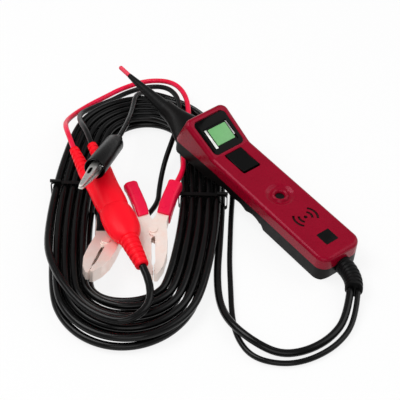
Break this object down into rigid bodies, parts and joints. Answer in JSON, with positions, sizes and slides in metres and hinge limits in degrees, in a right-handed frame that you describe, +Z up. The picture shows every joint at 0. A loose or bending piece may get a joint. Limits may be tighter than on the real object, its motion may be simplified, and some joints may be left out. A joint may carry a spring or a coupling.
{
  "type": "battery tester",
  "caption": "Hand-held probe battery and circuit tester with a tilted display, rocker, wound lead, plug connector, battery clips and a small ground clip.",
  "frame": {"origin": "middle of the lower face of the tester's own bounding box, on the bench", "axes": "+Y along the tester from its tail to the probe tip, +X to its right, +Z up"},
  "size_m": [0.2222, 0.3247, 0.0595],
  "materials": {
    "crimson_shell": "gloss",
    "black_shell": "satin",
    "screw_steel": "satin",
    "display_black": "gloss",
    "display_lens": "gloss",
    "lcd": "matte",
    "board_green": "matte",
    "lens_dark": "gloss",
    "buzzer_black": "matte",
    "brass": "satin",
    "sheath_black": "satin",
    "needle_steel": "polished",
    "cap_red": "satin",
    "cord_black": "satin",
    "lead_red": "satin",
    "connector_red": "satin",
    "clip_copper": "satin",
    "rivet_copper": "satin",
    "grip_red": "satin",
    "grip_black": "satin",
    "jaw_nickel": "polished"
  },
  "bodies": {
    "tester": {"aux_lead": "cord_black", "black_clip_arm_fixed": "clip_copper", "black_clip_grip_fixed": "grip_black", "black_clip_rivet": "rivet_copper", "black_clip_spring": "needle_steel", "black_lead": "cord_black", "buzzer": "buzzer_black", "circuit_board": "board_green", "circuit_breaker": "buzzer_black", "connector_pins": "brass", "connector_plug": "connector_red", "connector_socket": "connector_red", "display_bezel": "display_black", "display_lens": "display_lens", "gator_boot": "cord_black", "gator_lower_jaw": "jaw_nickel", "gator_pin": "screw_steel", "housing_screws": "screw_steel", "indicator_lens": "lens_dark", "label_plate": "black_shell", "lcd_module": "lcd", "lower_housing": "black_shell", "main_lead_coil": "cord_black", "main_lead_front": "cord_black", "main_lead_rear": "cord_black", "probe_needle": "needle_steel", "probe_nose": "black_shell", "probe_sheath": "sheath_black", "probe_socket": "brass", "red_clip_arm_fixed": "clip_copper", "red_clip_grip_fixed": "grip_red", "red_clip_rivet": "rivet_copper", "red_clip_spring": "needle_steel", "red_lead": "lead_red", "rocker_pin": "screw_steel", "strain_relief": "cord_black", "switch_body": "black_shell", "tie_left": "cord_black", "tie_right": "cord_black", "upper_housing": "crimson_shell"},
    "rocker": {"rocker_cap": "black_shell"},
    "tip_cap": {"tip_cap": "cap_red"},
    "red_jaw": {"red_clip_arm_moving": "clip_copper", "red_clip_grip_moving": "grip_red"},
    "black_jaw": {"black_clip_arm_moving": "clip_copper", "black_clip_grip_moving": "grip_black"},
    "ground_jaw": {"gator_upper_jaw": "jaw_nickel"}
  },
  "joints": [
    {"name": "rocker_tilt", "type": "hinge", "parent": "tester", "child": "rocker", "pos_m": [0, -0.01975, 0.03021], "axis": [1, 0, 0], "range_deg": [-6, 6], "stiffness_Nm_per_rad": 0.08},
    {"name": "tip_cap_pull", "type": "slide", "parent": "tester", "child": "tip_cap", "axis": [0, 0.9925, 0.1219], "range_m": [0, 0.02]},
    {"name": "red_clip_squeeze", "type": "hinge", "parent": "tester", "child": "red_jaw", "pos_m": [-0.087, -0.024, 0.0148], "axis": [0.0973, 0.1244, -0.9874], "range_deg": [0, 15], "stiffness_Nm_per_rad": 1.2},
    {"name": "black_clip_squeeze", "type": "hinge", "parent": "tester", "child": "black_jaw", "pos_m": [-0.121, -0.0125, 0.014], "axis": [-0.1417, -0.1063, -0.9842], "range_deg": [0, 15], "stiffness_Nm_per_rad": 1.2},
    {"name": "ground_clip_squeeze", "type": "hinge", "parent": "tester", "child": "ground_jaw", "pos_m": [-0.0955, 0.029, 0.0485], "axis": [-0.5783, 0.8158, 0], "range_deg": [0, 12], "stiffness_Nm_per_rad": 0.15}
  ]
}
